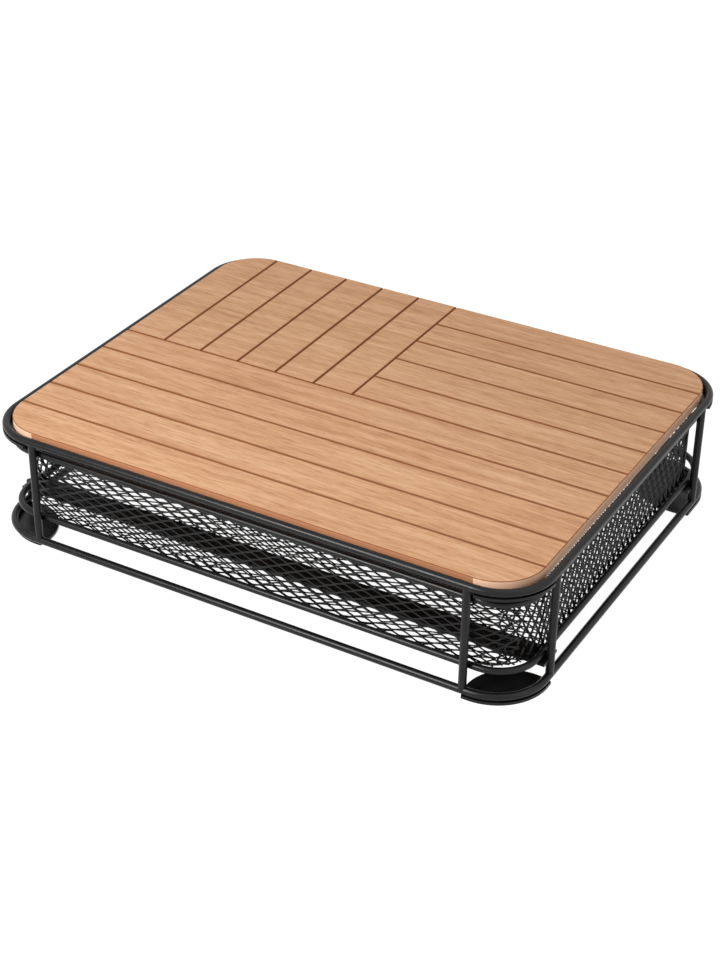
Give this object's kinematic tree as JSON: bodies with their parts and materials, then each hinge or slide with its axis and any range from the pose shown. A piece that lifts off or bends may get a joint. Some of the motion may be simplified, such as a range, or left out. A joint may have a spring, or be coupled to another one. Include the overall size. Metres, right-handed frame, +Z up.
{
  "type": "coffee capsule holder",
  "caption": "Low black wire frame with a planked wooden top and an expanded-metal mesh drawer that slides out of one end to hold coffee capsules.",
  "frame": {"origin": "on the table under the middle of the wire frame, at the undersides of the foot plates", "axes": "+X along the frame, away from the end the drawer slides out of; +Y from the pictured long side to the back; +Z up"},
  "size_m": [0.3052, 0.2406, 0.065],
  "materials": {
    "black_coat": "satin black powder coat",
    "board_wood": "matt veneer with dark grooves",
    "screw_steel": "zinc plated"
  },
  "bodies": {
    "frame": {"top_ring": "black_coat", "bottom_ring": "black_coat", "post_front_left": "black_coat", "post_front_right": "black_coat", "post_back_left": "black_coat", "post_back_right": "black_coat", "post_right_front": "black_coat", "post_right_back": "black_coat", "foot_plate_front_left": "black_coat", "foot_plate_front_right": "black_coat", "foot_plate_back_left": "black_coat", "foot_plate_back_right": "black_coat", "board_plate_front_left": "black_coat", "board_plate_front_right": "black_coat", "board_plate_back_left": "black_coat", "board_plate_back_right": "black_coat", "runner_front": "black_coat", "runner_back": "black_coat", "runner_peg_front": "black_coat", "runner_peg_back": "black_coat", "board": "board_wood", "board_screws": "screw_steel"},
    "drawer": {"drawer_rim": "black_coat", "drawer_lower_wire": "black_coat", "drawer_floor": "black_coat", "drawer_wall_front": "black_coat", "drawer_wall_back": "black_coat", "drawer_wall_left": "black_coat", "drawer_wall_right": "black_coat", "drawer_corner_front_left": "black_coat", "drawer_corner_front_right": "black_coat", "drawer_corner_back_left": "black_coat", "drawer_corner_back_right": "black_coat"}
  },
  "joints": [
    {"name": "drawer_slide", "type": "slide", "parent": "frame", "child": "drawer", "axis": [-1, 0, 0], "range_m": [0, 0.24]}
  ]
}
